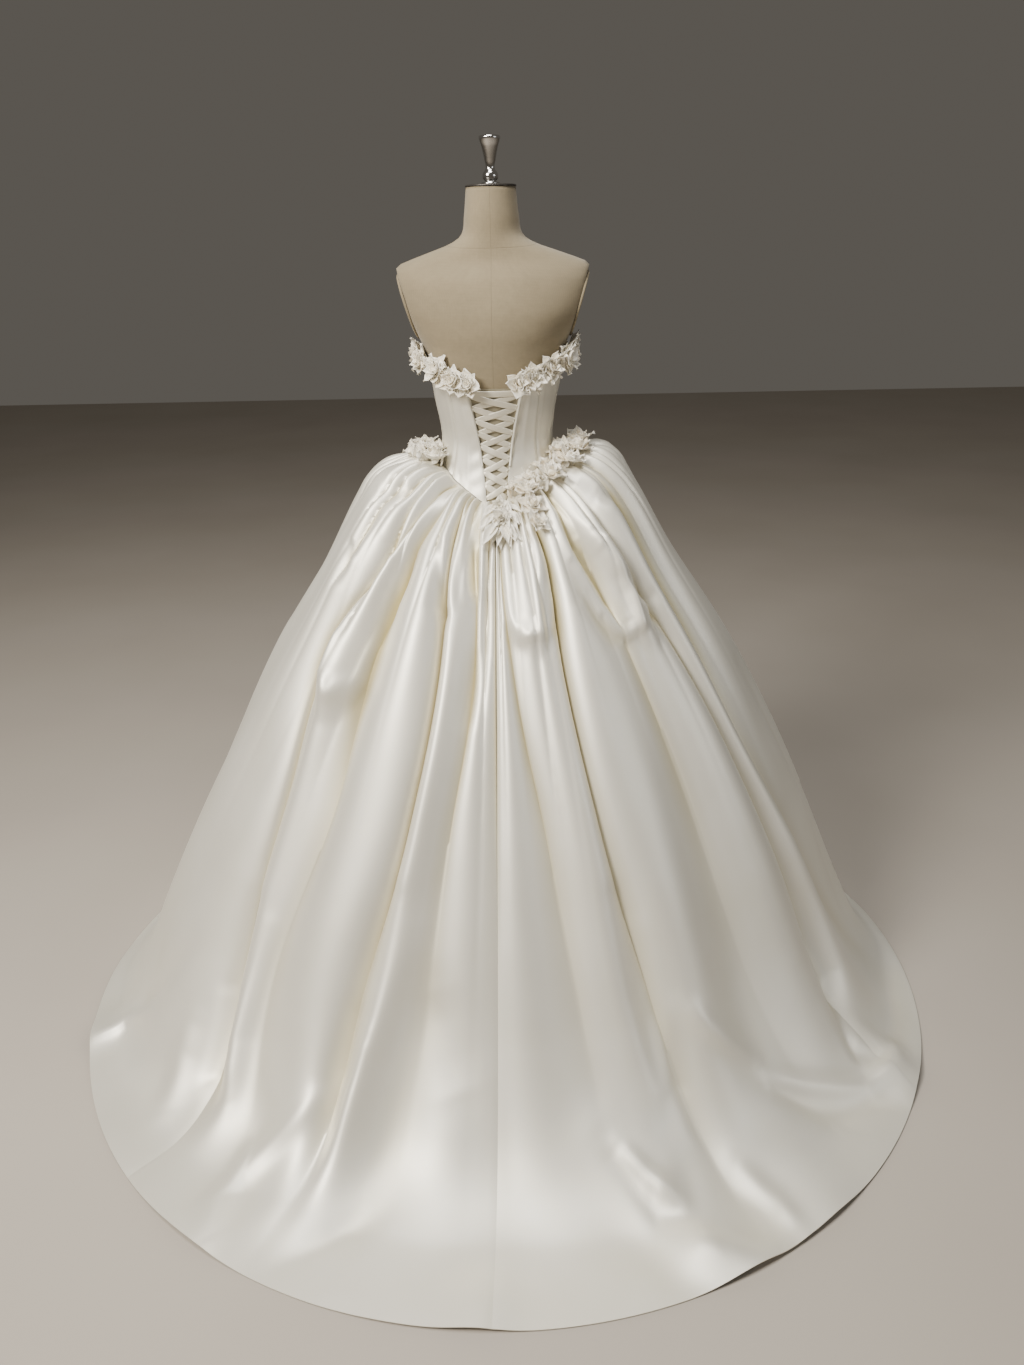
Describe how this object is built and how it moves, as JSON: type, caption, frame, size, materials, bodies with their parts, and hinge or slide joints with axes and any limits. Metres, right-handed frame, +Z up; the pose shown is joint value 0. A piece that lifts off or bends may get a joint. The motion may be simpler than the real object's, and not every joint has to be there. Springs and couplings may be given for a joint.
{
  "type": "wedding dress on a dress form",
  "caption": "Strapless ivory satin ball gown with a laced back, fabric flowers and a short train, standing on a limbless linen dress form with a round base.",
  "frame": {"origin": "centre of the stand base's underside, on the floor under the pole", "axes": "+Z up along the pole, +Y towards the gown's laced back and train, +X towards the wearer's left"},
  "size_m": [1.7187, 1.651, 1.6386],
  "materials": {
    "satin": "ivory satin with a soft sheen",
    "ribbon": "narrow ivory satin ribbon",
    "petal": "thin ivory petal cloth",
    "form_linen": "stretched natural linen",
    "polished_metal": "polished",
    "dark_metal": "dark, half gloss"
  },
  "bodies": {
    "root": {"form_torso": "form_linen", "arm_plate_left": "dark_metal", "arm_plate_right": "dark_metal", "neck_cap": "dark_metal", "finial": "polished_metal", "stand_base": "dark_metal", "stand_pole": "polished_metal", "bodice_back_left": "satin", "bodice_side_left": "satin", "bodice_front_left": "satin", "bodice_front_center": "satin", "bodice_front_right": "satin", "bodice_side_right": "satin", "bodice_back_right": "satin", "modesty_panel": "satin", "piping_left": "satin", "piping_right": "satin", "lacing_ribbon": "ribbon", "skirt_back_left": "satin", "skirt_side_left": "satin", "skirt_front": "satin", "skirt_side_right": "satin", "skirt_back_right": "satin", "neckline_flowers_left": "petal", "neckline_flowers_right": "petal", "waist_flowers_right": "petal", "waist_flowers_left": "petal", "point_flowers": "petal"}
  },
  "joints": []
}
